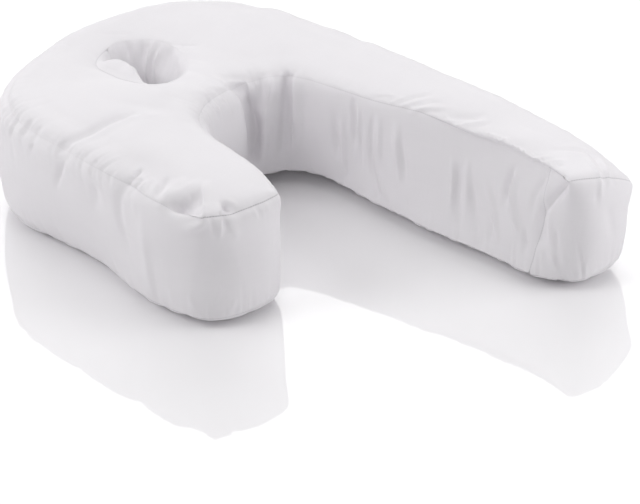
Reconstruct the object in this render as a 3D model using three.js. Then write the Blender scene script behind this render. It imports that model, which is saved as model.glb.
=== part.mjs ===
// A filled, U-shaped pillow for side sleepers, lying flat on its bottom panel.
// It has a wide head with an ear hole right through it, one short arm and one long arm.
// Like the sewn pillow it is a top panel and a bottom panel of the same cut, a side band between
// them, and a tube of lining through the ear hole. The four skins close into one filled solid.
// Millimetres. X runs along the arms, away from the head, Y from the short arm to the long one, Z up.
import * as THREE from 'three';

const { lerp, smoothstep, euclideanModulo } = THREE.MathUtils;

// The seams, from the short arm's end, round the head, to the long arm's end. In is the side of the
// gap between the arms, out the far side: the top seam in plan, its height, how far the bottom seam
// stands out from it, and how far the side band swells out between the two.
const SEAM_COLUMNS = [
  'inX', 'inY', 'outX', 'outY', 'inHeight', 'outHeight', 'inFoot', 'outFoot', 'inSwell', 'outSwell'];
const SEAMS = [
  [41, -112, 10, -206, 136, 138, 0, -2, 9, 4],
  [-5, -87, -48, -207, 137, 139, 0, -4, 9, 7],
  [-52, -72, -103, -197, 137, 140, 0, -6, 9, 9],
  [-98, -59, -152, -190, 137, 140, 0, -12, 10, 10],
  [-132, -40, -203, -180, 137, 140, 0, -14, 12, 13],
  [-148, -17, -255, -170, 137, 139, 0, -10, 14, 17],
  [-154, 3, -305, -154, 137, 139, 0, -2, 16, 20],
  [-155, 20, -345, -117, 137, 139, 0, 4, 16, 22],
  [-154, 36, -369, -70, 137, 139, -2, 6, 14, 20],
  [-151, 51, -381, -14, 137, 139, -4, 4, 12, 17],
  [-147, 66, -384, 34, 137, 139, -6, 2, 10, 15],
  [-140, 80, -373, 88, 137, 139, -8, 0, 8, 14],
  [-129, 94, -347, 142, 137, 139, -12, 0, 8, 13],
  [-110, 104, -301, 184, 137, 139, -16, 0, 8, 12],
  [-82, 107, -243, 208, 137, 139, -18, 0, 8, 11],
  [-47, 108, -178, 213, 137, 139, -14, 0, 8, 10],
  [-6, 110, -112, 212, 137, 139, -4, 2, 8, 10],
  [38, 114, -44, 209, 139, 139, 5, 4, 8, 10],
  [86, 117, 25, 202, 141, 139, 16, 6, 8, 10],
  [137, 120, 96, 197, 143, 138, 21, 8, 8, 10],
  [188, 118, 163, 189, 143, 135, 23, 8, 8, 10],
  [234, 107, 232, 183, 140, 126, 19, 6, 6, 9],
  [273, 87, 297, 176, 137, 104, 4, 0, 4, 6],
];

// The arms' ends bow out a little, and the band rounds the corners that the panels keep sharp.
const END_BOW = 8;
const END_SWELL = 8;
const CORNER_PASSES = 12;

// How the panels rise: a membrane's slope at its seams, and the most that the filling lifts it.
const PRESSURE = 0.0125;
const CROWN_LIMIT = 24;
const FLOOR_SEAM = 8;
const FLOOR_SLOPE = 1.6;

// The ear hole: an upright oval through the head. Its lining swells inwards between its two rims.
const HOLE = { x: -272, y: 26, alongX: 52, alongY: 50, top: 139, bottom: 6, swell: 13 };

// The main folds, each along a straight run over the skin: a trough where its depth is below zero
// and a ridge where it is above. Width is from one side of the fold to the other.
const FOLD_COLUMNS = ['fromX', 'fromY', 'fromZ', 'toX', 'toY', 'toZ', 'width', 'depth'];
const FOLDS = {
  overShortArmRoot: [
    [-203, -176, 143, -183, -112, 156, 28, -7],
    [-183, -112, 156, -160, -70, 155, 26, -4],
    [-185, -172, 147, -163, -104, 156, 26, 3],
  ],
  shortArmEnd: [
    [-32, -200, 142, -6, -190, 143, 28, -9],
    [-10, -172, 147, 9, -196, 139, 14, 3],
    [14, -182, 141, 28, -168, 138, 20, -6],
    [9, -172, 144, 24, -193, 112, 13, 3],
    [-8, -210, 126, 14, -204, 126, 18, -4],
  ],
  innerBend: [
    [-152, 48, 136, -139, 61, 92, 28, -11],
    [-139, 61, 92, -143, 58, 40, 28, -12],
    [-137, 84, 132, -138, 69, 52, 20, 5],
    [-145, 20, 84, -143, 28, 58, 60, 6],
    [-119, 98, 135, -118, 93, 58, 19, -6],
    [-110, 101, 133, -112, 98, 57, 15, 3],
  ],
  longArmInside: [
    [-45, 107, 127, -42, 107, 54, 32, -3],
    [-48, 110, 58, -55, 117, 18, 22, -5],
    [-8, 107, 62, -14, 112, 18, 24, -5],
    [155, 107, 92, 159, 101, 24, 28, -4],
    [175, 110, 114, 179, 104, 70, 22, -5],
    [189, 110, 117, 197, 98, 35, 24, 4],
    [225, 98, 84, 231, 94, 46, 34, -8],
    [268, 89, 130, 231, 97, 76, 20, -6],
  ],
  longArmEnd: [
    [268, 140, 140, 298, 128, 108, 18, -3],
  ],
  shortArmOutside: [
    [-103, -197, 132, -84, -206, 60, 34, -6],
    [-72, -209, 102, -72, -203, 26, 36, 5],
    [-110, -178, 149, -97, -197, 130, 17, -5],
    [-64, -186, 148, -58, -203, 132, 15, -4],
    [-152, -195, 118, -148, -193, 82, 34, -5],
    [-207, -187, 120, -205, -186, 85, 30, -4],
    [-298, -161, 142, -303, -168, 118, 20, -5],
  ],
};

// The mesh: cells along the arms, across them, down the band and down the lining, and the block of
// panel cells that gives way to rings round the ear hole.
const ALONG = 96;
const ACROSS = 14;
const BAND_ROWS = 8;
const LINING_ROWS = 6;
const RINGS = 5;
const BLOCK = { from: 30, to: 52, near: 2, far: 12 };

// Shares from 0 to 1 that lie closer together near both ends.
function graded(steps) {
  return Array.from({ length: steps + 1 }, (_, i) => {
    const share = i / steps;
    return lerp(0.5 - 0.5 * Math.cos(Math.PI * share), share, 0.5);
  });
}
const across = graded(ACROSS);
const downBand = graded(BAND_ROWS);

// Each column of the table as a smooth curve over u, from 0 to 1 along the pillow.
const seam = Object.fromEntries(SEAM_COLUMNS.map((name, index) => {
  const knots = SEAMS.map((row, i) => new THREE.Vector3(i, row[index], 0));
  const curve = new THREE.CatmullRomCurve3(knots, false, 'catmullrom', 0.5);
  return [name, (u) => curve.getPoint(u).y];
}));

// The outline's nodes, anticlockwise from above: along the inner side, across the long arm's end,
// back along the outer side and across the short arm's end.
const OUTLINE = [];
for (let i = 0; i < ALONG; i++) OUTLINE.push([i, 0]);
for (let j = 0; j < ACROSS; j++) OUTLINE.push([ALONG, j]);
for (let i = ALONG; i > 0; i--) OUTLINE.push([i, ACROSS]);
for (let j = ACROSS; j > 0; j--) OUTLINE.push([0, j]);

const keyOf = (i, j) => i * (ACROSS + 1) + j;
const around = (list, k) => list[euclideanModulo(k, list.length)];

function topSeamAt([i, j]) {
  const u = i / ALONG;
  const t = across[j];
  const inner = new THREE.Vector3(seam.inX(u), seam.inY(u), seam.inHeight(u));
  const outer = new THREE.Vector3(seam.outX(u), seam.outY(u), seam.outHeight(u));
  const point = inner.clone().lerp(outer, t);
  if (i === 0 || i === ALONG) {
    const side = i === 0 ? -1 : 1;
    const along = new THREE.Vector3(outer.y - inner.y, inner.x - outer.x, 0).normalize();
    point.addScaledVector(along, side * END_BOW * Math.sin(Math.PI * t));
    point.z = lerp(inner.z, outer.z, t * t);
  }
  return point;
}

// The same loop with its corners rounded in plan.
function softened(loop) {
  let soft = loop;
  for (let pass = 0; pass < CORNER_PASSES; pass++) {
    const last = soft;
    soft = last.map((point, k) => {
      const middle = around(last, k - 1).clone().add(around(last, k + 1)).multiplyScalar(0.5);
      return point.clone().lerp(middle, 0.5);
    });
  }
  return soft;
}

const topSeam = OUTLINE.map(topSeamAt);
const softSeam = softened(topSeam);
const outward = softSeam.map((_, k) => {
  const run = around(softSeam, k + 1).clone().sub(around(softSeam, k - 1));
  return new THREE.Vector3(run.y, -run.x, 0).normalize();
});
const band = OUTLINE.map(([i, j]) => {
  const u = i / ALONG;
  const t = across[j];
  const atEnd = i === 0 || i === ALONG ? Math.sin(Math.PI * t) : 0;
  return {
    foot: lerp(seam.inFoot(u), seam.outFoot(u), t),
    swell: lerp(lerp(seam.inSwell(u), seam.outSwell(u), t), END_SWELL, atEnd),
  };
});
const bottomSeam = softSeam.map((point, k) =>
  point.clone().addScaledVector(outward[k], band[k].foot).setZ(FLOOR_SEAM));

// A point of the band, at a share of the way down from the top seam.
function bandPoint(k, down) {
  const rounding = smoothstep(down, 0, 0.4);
  const hang = topSeam[k].clone().lerp(softSeam[k], rounding).lerp(bottomSeam[k], down * down);
  hang.z = lerp(topSeam[k].z, FLOOR_SEAM, down);
  return hang.addScaledVector(outward[k], band[k].swell * Math.sin(Math.PI * down) ** 0.8);
}

// A panel's point inside its outline: a Coons patch between the four sides.
function patchPoint(edge, i, j) {
  const u = i / ALONG;
  const t = across[j];
  const sides = [
    [edge(i, 0), 1 - t], [edge(i, ACROSS), t],
    [edge(0, j), 1 - u], [edge(ALONG, j), u],
    [edge(0, 0), -(1 - u) * (1 - t)], [edge(0, ACROSS), -(1 - u) * t],
    [edge(ALONG, 0), -u * (1 - t)], [edge(ALONG, ACROSS), -u * t],
  ];
  return sides.reduce((sum, [point, share]) => sum.addScaledVector(point, share), new THREE.Vector3());
}

// The ear hole's rim, with one point for each corner of the block's frame, spread evenly round it.
function rimPoints(frame, height) {
  const angles = frame.map((p) => Math.atan2((p.y - HOLE.y) / HOLE.alongY, (p.x - HOLE.x) / HOLE.alongX));
  return frame.map((_, k) => {
    const even = angles[0] + 2 * Math.PI * k / frame.length;
    const off = euclideanModulo(angles[k] - even + Math.PI, 2 * Math.PI) - Math.PI;
    const angle = even + 0.35 * off;
    return new THREE.Vector3(
      HOLE.x + HOLE.alongX * Math.cos(angle), HOLE.y + HOLE.alongY * Math.sin(angle), height);
  });
}

// A panel of the pillow: its points, its four-sided cells, which points are sewn, and its two loops.
function panel(outline, rimHeight) {
  const points = [];
  const sewn = [];
  const quads = [];
  const indexOf = new Map();
  const onOutline = new Map(OUTLINE.map(([i, j], k) => [keyOf(i, j), outline[k]]));
  const edge = (i, j) => onOutline.get(keyOf(i, j));
  const add = (point, isSewn) => {
    sewn.push(isSewn);
    return points.push(point) - 1;
  };

  for (let i = 0; i <= ALONG; i++) {
    for (let j = 0; j <= ACROSS; j++) {
      if (i > BLOCK.from && i < BLOCK.to && j > BLOCK.near && j < BLOCK.far) continue;
      const sewnPoint = edge(i, j);
      const point = sewnPoint ? sewnPoint.clone() : patchPoint(edge, i, j);
      indexOf.set(keyOf(i, j), add(point, Boolean(sewnPoint)));
    }
  }
  const at = ([i, j]) => indexOf.get(keyOf(i, j));
  for (let i = 0; i < ALONG; i++) {
    for (let j = 0; j < ACROSS; j++) {
      if (i >= BLOCK.from && i < BLOCK.to && j >= BLOCK.near && j < BLOCK.far) continue;
      quads.push([[i, j], [i + 1, j], [i + 1, j + 1], [i, j + 1]].map(at));
    }
  }

  const frame = [];
  for (let i = BLOCK.from; i < BLOCK.to; i++) frame.push([i, BLOCK.near]);
  for (let j = BLOCK.near; j < BLOCK.far; j++) frame.push([BLOCK.to, j]);
  for (let i = BLOCK.to; i > BLOCK.from; i--) frame.push([i, BLOCK.far]);
  for (let j = BLOCK.far; j > BLOCK.near; j--) frame.push([BLOCK.from, j]);
  const corners = frame.map((node) => points[at(node)]);
  const rim = rimPoints(corners, rimHeight);
  let ring = frame.map(at);
  for (let r = 1; r <= RINGS; r++) {
    const next = corners.map((corner, k) => add(corner.clone().lerp(rim[k], r / RINGS), r === RINGS));
    ring.forEach((a, k) => quads.push([a, around(ring, k + 1), around(next, k + 1), next[k]]));
    ring = next;
  }
  return { points, sewn, quads, outline: OUTLINE.map(at), rim: ring };
}

// Each four-sided cell as two triangles, parted along its longer diagonal.
function halves(quads, points) {
  return quads.flatMap(([a, b, c, d]) => {
    const isLongAC = points[a].distanceTo(points[c]) > points[b].distanceTo(points[d]);
    return isLongAC ? [[a, b, c], [a, c, d]] : [[a, b, d], [b, c, d]];
  });
}

// The heights of a stretched membrane over a panel, held where it is sewn, under an even load.
function membrane(sheet, held, load) {
  const links = sheet.points.map(() => new Map());
  const share = sheet.points.map(() => 0);
  for (const triangle of halves(sheet.quads, sheet.points)) {
    const [a, b, c] = triangle.map((v) => sheet.points[v].clone().setZ(0));
    const twiceArea = b.clone().sub(a).cross(c.clone().sub(a)).length();
    triangle.forEach((v, n) => {
      const p = triangle[(n + 1) % 3];
      const q = triangle[(n + 2) % 3];
      const here = sheet.points[v];
      const toP = sheet.points[p].clone().sub(here).setZ(0);
      const toQ = sheet.points[q].clone().sub(here).setZ(0);
      const pull = Math.max(0.5 * toP.dot(toQ) / twiceArea, 0.02);
      links[p].set(q, (links[p].get(q) ?? 0) + pull);
      links[q].set(p, (links[q].get(p) ?? 0) + pull);
      share[v] += twiceArea / 6;
    });
  }
  const height = held.slice();
  for (let pass = 0; pass < 700; pass++) {
    for (let v = 0; v < height.length; v++) {
      if (sheet.sewn[v]) continue;
      let pulled = load * share[v];
      let total = 0;
      for (const [other, pull] of links[v]) {
        pulled += pull * height[other];
        total += pull;
      }
      height[v] += 1.9 * (pulled / total - height[v]);
    }
  }
  return height;
}

// Lifts a panel off the plane of its seams, or lets it sink to the floor under it.
function fill(sheet, lift) {
  const plane = membrane(sheet, sheet.points.map((p) => p.z), 0);
  const swell = membrane(sheet, sheet.points.map(() => 0), PRESSURE);
  sheet.points.forEach((p, v) => p.setZ(Math.max(plane[v] + lift(swell[v]), 0)));
}

const topPanel = panel(topSeam, HOLE.top);
const bottomPanel = panel(bottomSeam, HOLE.bottom);
fill(topPanel, (swell) => CROWN_LIMIT * (1 - Math.exp(-swell / CROWN_LIMIT)));
fill(bottomPanel, (swell) => -FLOOR_SLOPE * swell);

// The skins share their points where they are sewn together.
const vertices = [...topPanel.points, ...bottomPanel.points];
const faces = [...topPanel.quads];
const under = (v) => v + topPanel.points.length;
faces.push(...bottomPanel.quads.map((quad) => quad.map(under).reverse()));

// Rows of cells from an upper loop down to a lower one, with the points between them given by place.
function wall(upper, lower, rows, place) {
  const cells = [];
  let above = upper;
  for (let row = 1; row <= rows; row++) {
    const below = row === rows ? lower : upper.map((_, k) => vertices.push(place(k, row)) - 1);
    above.forEach((a, k) => cells.push([a, below[k], around(below, k + 1), around(above, k + 1)]));
    above = below;
  }
  return cells;
}

const bandCells = wall(topPanel.outline, bottomPanel.outline.map(under), BAND_ROWS,
  (k, row) => bandPoint(k, downBand[row]));
faces.push(...bandCells);

const liningCells = wall(topPanel.rim, bottomPanel.rim.map(under), LINING_ROWS, (k, row) => {
  const down = row / LINING_ROWS;
  const point = topPanel.points[topPanel.rim[k]].clone();
  point.lerp(bottomPanel.points[bottomPanel.rim[k]], down);
  const inward = new THREE.Vector3(HOLE.x - point.x, HOLE.y - point.y, 0).normalize();
  return point.addScaledVector(inward, HOLE.swell * Math.sin(Math.PI * down) ** 0.6);
});
faces.push(...liningCells.map((quad) => quad.reverse()));

const geometry = new THREE.BufferGeometry();
geometry.setAttribute('position', new THREE.Float32BufferAttribute(vertices.flatMap((p) => p.toArray()), 3));
geometry.setIndex(halves(faces, vertices).flat());
geometry.computeVertexNormals();

// Presses each fold into the skin along its normals, deepest on the fold's own line.
function press(row) {
  const fold = Object.fromEntries(FOLD_COLUMNS.map((name, n) => [name, row[n]]));
  const run = new THREE.Line3(
    new THREE.Vector3(fold.fromX, fold.fromY, fold.fromZ), new THREE.Vector3(fold.toX, fold.toY, fold.toZ));
  const nearest = new THREE.Vector3();
  const normal = new THREE.Vector3();
  vertices.forEach((vertex, v) => {
    const away = run.closestPointToPoint(vertex, true, nearest).distanceTo(vertex) / fold.width;
    if (away > 0.5) return;
    normal.fromBufferAttribute(geometry.attributes.normal, v);
    vertex.addScaledVector(normal, fold.depth * Math.cos(Math.PI * away) ** 2);
  });
}
Object.values(FOLDS).flat().forEach(press);
geometry.attributes.position.copyArray(vertices.flatMap((p) => p.toArray()));
geometry.setIndex(halves(faces, vertices).flat());

// The pillow stands on Z = 0 with its box centred on the other two axes.
geometry.computeBoundingBox();
const centre = geometry.boundingBox.getCenter(new THREE.Vector3());
geometry.translate(-centre.x, -centre.y, 0);
geometry.computeVertexNormals();

const cotton = new THREE.MeshStandardMaterial({ color: 0xf2f0f3, roughness: 0.9, metalness: 0 });
const pillow = new THREE.Mesh(geometry, cotton);
pillow.name = 'pillow_body';

const part = new THREE.Group();
part.add(pillow);
export default part;
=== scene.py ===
import math

import bmesh
import bpy
import numpy as np
from mathutils import Matrix, Vector
from mathutils.kdtree import KDTree


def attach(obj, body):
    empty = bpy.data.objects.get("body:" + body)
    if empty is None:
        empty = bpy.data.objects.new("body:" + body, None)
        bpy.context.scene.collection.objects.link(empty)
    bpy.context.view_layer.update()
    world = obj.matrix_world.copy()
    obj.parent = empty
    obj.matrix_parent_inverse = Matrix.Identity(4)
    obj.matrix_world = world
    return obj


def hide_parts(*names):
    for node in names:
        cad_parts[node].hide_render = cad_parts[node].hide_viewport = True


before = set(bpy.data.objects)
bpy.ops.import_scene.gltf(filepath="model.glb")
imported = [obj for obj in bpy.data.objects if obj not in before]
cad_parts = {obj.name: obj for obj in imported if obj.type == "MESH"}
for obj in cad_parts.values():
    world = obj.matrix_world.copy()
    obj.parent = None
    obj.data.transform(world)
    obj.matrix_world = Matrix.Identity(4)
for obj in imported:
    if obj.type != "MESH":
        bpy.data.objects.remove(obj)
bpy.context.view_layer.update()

scene = bpy.context.scene

# The camera stands in front of the gap between the arms and looks down on the pillow from far away,
# so that the short arm's end and the inside of the long arm both face it.
CAMERA_AIM = Vector((0.04825, -0.00429, 0.0))
CAMERA_DISTANCE = 4.95
CAMERA_TURN = math.radians(40)
CAMERA_HEIGHT_ANGLE = math.radians(30)
CAMERA_ROLL = 0.034
CAMERA_DROP = 0.0022
FILM_WIDTH = 36
PICTURE_WIDTH = 640
FOCAL_LENGTH_IN_PIXELS = 4500
FURTHEST_SEEN = 50

level_right = Vector((math.cos(CAMERA_TURN), math.sin(CAMERA_TURN), 0))
towards_camera = Vector((
    math.sin(CAMERA_TURN) * math.cos(CAMERA_HEIGHT_ANGLE),
    -math.cos(CAMERA_TURN) * math.cos(CAMERA_HEIGHT_ANGLE),
    math.sin(CAMERA_HEIGHT_ANGLE)))
level_up = towards_camera.cross(level_right)
camera_right = level_right * math.cos(CAMERA_ROLL) - level_up * math.sin(CAMERA_ROLL)
camera_up = level_up * math.cos(CAMERA_ROLL) + level_right * math.sin(CAMERA_ROLL)
camera_place = CAMERA_AIM + towards_camera * CAMERA_DISTANCE - camera_up * CAMERA_DROP

bpy.ops.object.camera_add()
camera = bpy.context.object
camera.name = "camera"
camera.matrix_world = Matrix.Translation(camera_place) @ Matrix(
    (camera_right, camera_up, towards_camera)).transposed().to_4x4()
camera.data.sensor_width = FILM_WIDTH
camera.data.lens = FOCAL_LENGTH_IN_PIXELS / PICTURE_WIDTH * FILM_WIDTH
camera.data.clip_end = FURTHEST_SEEN
scene.camera = camera

# The pillow's cover is plain white cotton: a top and a bottom panel of the same cut and a side band
# between them, closed by one join seam, with a tube of lining sewn in through the ear hole. It is
# filled with loose fibre, which swells it, while the stitching draws the cloth into small puckers.
EAR_HOLE = Vector((-0.2237, 0.0217, 0))
EAR_HOLE_REACH = 0.07
HOLE_RIMS = (0.139, 0.006)
RIM_SLACK = 2e-4
CORNER_SLACK = 0.05
TOP_PANEL_ABOVE = 0.09
BOTTOM_PANEL_BELOW = 0.02
JOIN_SEAM_TOP = Vector((0.280, 0.101, 0.136))
LINING_SEAM_TOP = Vector((-0.276, 0.022, 0.139))
SETTLING_FRAMES = 24
FURTHEST_SHIFT = 0.012


def activate(piece):
    bpy.ops.object.select_all(action="DESELECT")
    piece.select_set(True)
    bpy.context.view_layer.objects.active = piece


def places(piece):
    flat = np.empty(len(piece.data.vertices) * 3)
    piece.data.vertices.foreach_get("co", flat)
    return flat.reshape(-1, 3)


def set_places(piece, spots):
    piece.data.vertices.foreach_set("co", spots.ravel())
    piece.data.update()


pillow = bpy.data.objects.new("pillow_cover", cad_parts["pillow_body"].data.copy())
scene.collection.objects.link(pillow)
pillow.data.name = "pillow_cover"
activate(pillow)
bpy.ops.object.mode_set(mode="EDIT")
bpy.ops.mesh.select_mode(type="EDGE")
bpy.ops.mesh.select_all(action="SELECT")
bpy.ops.mesh.remove_doubles(threshold=1e-5)

# Every cell of the solid is parted along its longer diagonal: the cells come back by dissolving it.
bpy.ops.mesh.select_all(action="DESELECT")
cloth_net = bmesh.from_edit_mesh(pillow.data)
longest = {face: max(face.edges, key=lambda edge: edge.calc_length()) for face in cloth_net.faces}
for edge in cloth_net.edges:
    edge.select_set(all(longest[face] is edge for face in edge.link_faces))
bmesh.update_edit_mesh(pillow.data)
bpy.ops.mesh.dissolve_edges(use_verts=False)
cloth_net = bmesh.from_edit_mesh(pillow.data)
bpy.ops.mesh.select_mode(type="FACE")
bpy.ops.mesh.select_all(action="DESELECT")
for face in cloth_net.faces:
    face.select_set(len(face.verts) == 3)
bmesh.update_edit_mesh(pillow.data)
bpy.ops.mesh.tris_convert_to_quads(face_threshold=math.pi, shape_threshold=math.pi)
bpy.ops.object.mode_set(mode="OBJECT")


def opposite(edge, corner):
    """The edge that goes straight on through a four-way crossing."""
    across = [other for other in corner.link_edges
              if not set(other.link_faces) & set(edge.link_faces)]
    return across[0] if len(across) == 1 else None


def run_from(corner, edge):
    """The edges from a corner, straight on until the next corner or odd crossing."""
    run = [edge]
    spot = edge.other_vert(corner)
    while len(spot.link_edges) == 4:
        edge = opposite(edge, spot)
        run.append(edge)
        spot = edge.other_vert(spot)
    return run, spot


cloth_net = bmesh.new()
cloth_net.from_mesh(pillow.data)
crease = cloth_net.edges.layers.float.new("crease_edge")
stitched = set()
for corner in cloth_net.verts:
    if len(corner.link_edges) != 3:
        continue
    for edge in corner.link_edges:
        run, last = run_from(corner, edge)
        if len(last.link_edges) == 3 and abs(last.co.z - corner.co.z) < CORNER_SLACK:
            stitched.update(run)
for edge in cloth_net.edges:
    if all((spot.co.xy - EAR_HOLE.xy).length < EAR_HOLE_REACH for spot in edge.verts):
        if any(all(abs(spot.co.z - rim) < RIM_SLACK for spot in edge.verts) for rim in HOLE_RIMS):
            stitched.add(edge)
for edge in stitched:
    edge[crease] = 1.0
    edge.seam = True

# Each cut of cloth gets its number: the faces that hang together without crossing a seam.
cut = cloth_net.faces.layers.int.new("cut")
TOP_PANEL, SIDE_BAND, BOTTOM_PANEL, HOLE_LINING = 1, 2, 3, 4
waiting = set(cloth_net.faces)
while waiting:
    patch = {waiting.pop()}
    outermost = list(patch)
    while outermost:
        face = outermost.pop()
        for edge in face.edges:
            for other in edge.link_faces:
                if edge not in stitched and other in waiting:
                    waiting.discard(other)
                    patch.add(other)
                    outermost.append(other)
    heights = [face.calc_center_median().z for face in patch]
    if min(heights) > TOP_PANEL_ABOVE:
        number = TOP_PANEL
    elif max(heights) < BOTTOM_PANEL_BELOW:
        number = BOTTOM_PANEL
    elif all((face.calc_center_median().xy - EAR_HOLE.xy).length < EAR_HOLE_REACH for face in patch):
        number = HOLE_LINING
    else:
        number = SIDE_BAND
    for face in patch:
        face[cut] = number


def post_from(place):
    """The upright row of edges under a place on a seam, down to the next seam."""
    top = min((spot for edge in stitched for spot in edge.verts),
              key=lambda spot: (spot.co - place).length)
    down = min((edge for edge in top.link_edges if edge not in stitched),
               key=lambda edge: edge.other_vert(top).co.z)
    post = [down]
    spot = down.other_vert(top)
    while not any(edge in stitched for edge in spot.link_edges):
        post.append(opposite(post[-1], spot))
        spot = post[-1].other_vert(spot)
    return post


# The band closes at its join seam on the inside of the long arm, the lining at its own at the back.
for edge in post_from(JOIN_SEAM_TOP) + post_from(LINING_SEAM_TOP):
    edge.seam = True
cloth_net.to_mesh(pillow.data)
cloth_net.free()

activate(pillow)
bpy.ops.object.mode_set(mode="EDIT")
bpy.ops.mesh.select_all(action="SELECT")
bpy.ops.uv.unwrap(method="ANGLE_BASED", margin=0.01)
bpy.ops.object.mode_set(mode="OBJECT")


def subdivide(piece, levels):
    activate(piece)
    finer = piece.modifiers.new("finer", "SUBSURF")
    finer.levels = finer.render_levels = levels
    finer.boundary_smooth = "ALL"
    bpy.ops.object.modifier_apply(modifier=finer.name)


subdivide(pillow, 1)


def seam_weights(piece):
    """1 where a vertex lies on a stitched seam, else 0."""
    sewn = np.zeros(len(piece.data.vertices))
    tight = piece.data.attributes["crease_edge"].data
    for edge in piece.data.edges:
        if tight[edge.index].value > 0.5:
            sewn[list(edge.vertices)] = 1.0
    return sewn


def group_from(piece, name, weights):
    group = piece.vertex_groups.new(name=name)
    for index, weight in enumerate(weights):
        if weight > 0:
            group.add([index], float(weight), "REPLACE")


def cuts_of(piece):
    """Which cuts of cloth meet at each vertex, as rows of true or false, one column a cut."""
    meets = np.zeros((len(piece.data.vertices), 5), bool)
    number = piece.data.attributes["cut"].data
    for face in piece.data.polygons:
        meets[list(face.vertices), number[face.index].value] = True
    return meets


def nearest_seam(piece, sewn):
    """How far each vertex is from the nearest stitched one."""
    spots = places(piece)
    tree = KDTree(int(sewn.sum()))
    for index in np.flatnonzero(sewn):
        tree.insert(spots[index], int(index))
    tree.balance()
    return np.array([tree.find(spot)[2] for spot in spots])


# The stitching holds each seam shorter than the cloth on both sides of it, so the cloth has a little
# to spare beside the seams, most of it in the two panels, and lies smooth far from them.
SPARE_CLOTH = 0.035
SPARE_REACH = 0.035
SPARE_IN_BAND = 0.25

before = places(pillow)
sewn = seam_weights(pillow)
band_only = cuts_of(pillow)[:, SIDE_BAND]
spare = np.exp(-nearest_seam(pillow, sewn) / SPARE_REACH) * np.where(band_only, SPARE_IN_BAND, 1)
group_from(pillow, "stitching", sewn)
group_from(pillow, "smooth", 1 - spare)
activate(pillow)
cloth = pillow.modifiers.new("filling", "CLOTH")
settings = cloth.settings
settings.quality = 6
settings.mass = 0.15
settings.tension_stiffness = 20
settings.compression_stiffness = 20
settings.shear_stiffness = 6
settings.bending_stiffness = 0.02
settings.use_pressure = True
settings.uniform_pressure_force = 4
settings.vertex_group_mass = "stitching"
settings.pin_stiffness = 1
settings.vertex_group_shrink = "smooth"
settings.shrink_min = -SPARE_CLOTH
settings.shrink_max = 0
settings.effector_weights.gravity = 0
cloth.collision_settings.use_collision = False
cloth.point_cache.frame_end = SETTLING_FRAMES
for number in range(1, SETTLING_FRAMES + 1):
    scene.frame_set(number)
bpy.ops.object.modifier_apply(modifier=cloth.name)
shift = places(pillow) - before
far = np.linalg.norm(shift, axis=1, keepdims=True)
shift *= np.minimum(1, FURTHEST_SHIFT / np.maximum(far, 1e-9))
spots = before + shift
spots[:, 2] = np.maximum(spots[:, 2], 0)
set_places(pillow, spots)
scene.frame_set(1)


def outward(piece):
    """Which way the cloth faces at each vertex."""
    flat = np.empty(len(piece.data.vertices) * 3)
    piece.data.vertex_normals.foreach_get("vector", flat)
    return flat.reshape(-1, 3)


def seam_edges(piece, stitched=True):
    """The stitched seam edges, or those of the two upright joins."""
    tight = piece.data.attributes["crease_edge"].data
    return [edge for edge in piece.data.edges
            if edge.use_seam and (tight[edge.index].value > 0.5) == stitched]


def seam_runs(piece, edges):
    """The edges as runs of vertices in order: closed rings, or open ones from one end."""
    beside = {}
    for edge in edges:
        a, b = edge.vertices
        beside.setdefault(a, []).append(b)
        beside.setdefault(b, []).append(a)
    runs = []
    while beside:
        ends = [vertex for vertex, others in beside.items() if len(others) == 1]
        run = [min(ends or beside)]
        while True:
            onward = [vertex for vertex in beside.pop(run[-1]) if vertex in beside]
            if not onward:
                break
            run.append(onward[0])
        runs.append(np.array(run))
    spots = places(piece)
    return sorted(runs, key=lambda run: (-len(run), -spots[run, 2].mean()))


class Seam:
    """A seam, which says for any spot how far along it is and how far away."""

    def __init__(self, spots, closed=True):
        self.spots = spots
        self.last = len(spots) if closed else len(spots) - 1
        steps = np.linalg.norm(np.roll(spots, -1, 0) - spots, axis=1)
        self.reach = np.concatenate([[0], np.cumsum(steps)[:-1]])
        self.length = steps.sum()
        self.tree = KDTree(len(spots))
        for index, spot in enumerate(spots):
            self.tree.insert(spot, index)
        self.tree.balance()

    def locate(self, spots):
        near = np.array([self.tree.find(spot)[1] for spot in spots])
        along = np.zeros(len(spots))
        away = np.full(len(spots), np.inf)
        for start in (near - 1, near):
            start = start % self.last
            first = self.spots[start]
            run = self.spots[(start + 1) % len(self.spots)] - first
            length = np.linalg.norm(run, axis=1)
            share = np.clip(np.sum((spots - first) * run, 1) / np.maximum(length, 1e-9) ** 2, 0, 1)
            gap = np.linalg.norm(spots - first - run * share[:, None], axis=1)
            closer = gap < away
            away[closer] = gap[closer]
            along[closer] = (self.reach[start] + share * length)[closer]
        return along, away


def stations(seam, rows):
    """The values of a table's rows, spread along a seam between the places they are given for."""
    along = seam.locate(np.array([row[:3] for row in rows]) / 1000)[0]
    order = np.argsort(along)
    values = np.array([row[3:] for row in rows])[order]
    return lambda at: np.stack(
        [np.interp(at, along[order], column, period=seam.length) for column in values.T], 1)


# Away from its seams the cloth lies calm: how calm the band is, from 0 to 1, at places beside the
# top seam in mm. The panels are calm all over.
BAND_CALM = [
    (58, -210, 138, 0.9),
    (-55, -200, 140, 1.0),
    (-155, -184, 140, 0.8),
    (-320, -75, 139, 0.7),
    (-200, 206, 139, 0.7),
    (200, 186, 135, 0.7),
    (345, 172, 104, 0.8),
    (321, 83, 137, 0.8),
    (200, 113, 143, 0.8),
    (-65, 100, 137, 0.6),
    (-106, 15, 137, 0.5),
    (40, -92, 137, 0.7),
]
LINING_CALM = 0.2
CALM_PASSES = 45
CALM_FROM = 0.004
CALM_REACH = 0.022
CALM_SEAMS = 0.1
FOOT_CALM_FROM = 0.012
FOOT_CALM_REACH = 0.02


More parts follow.
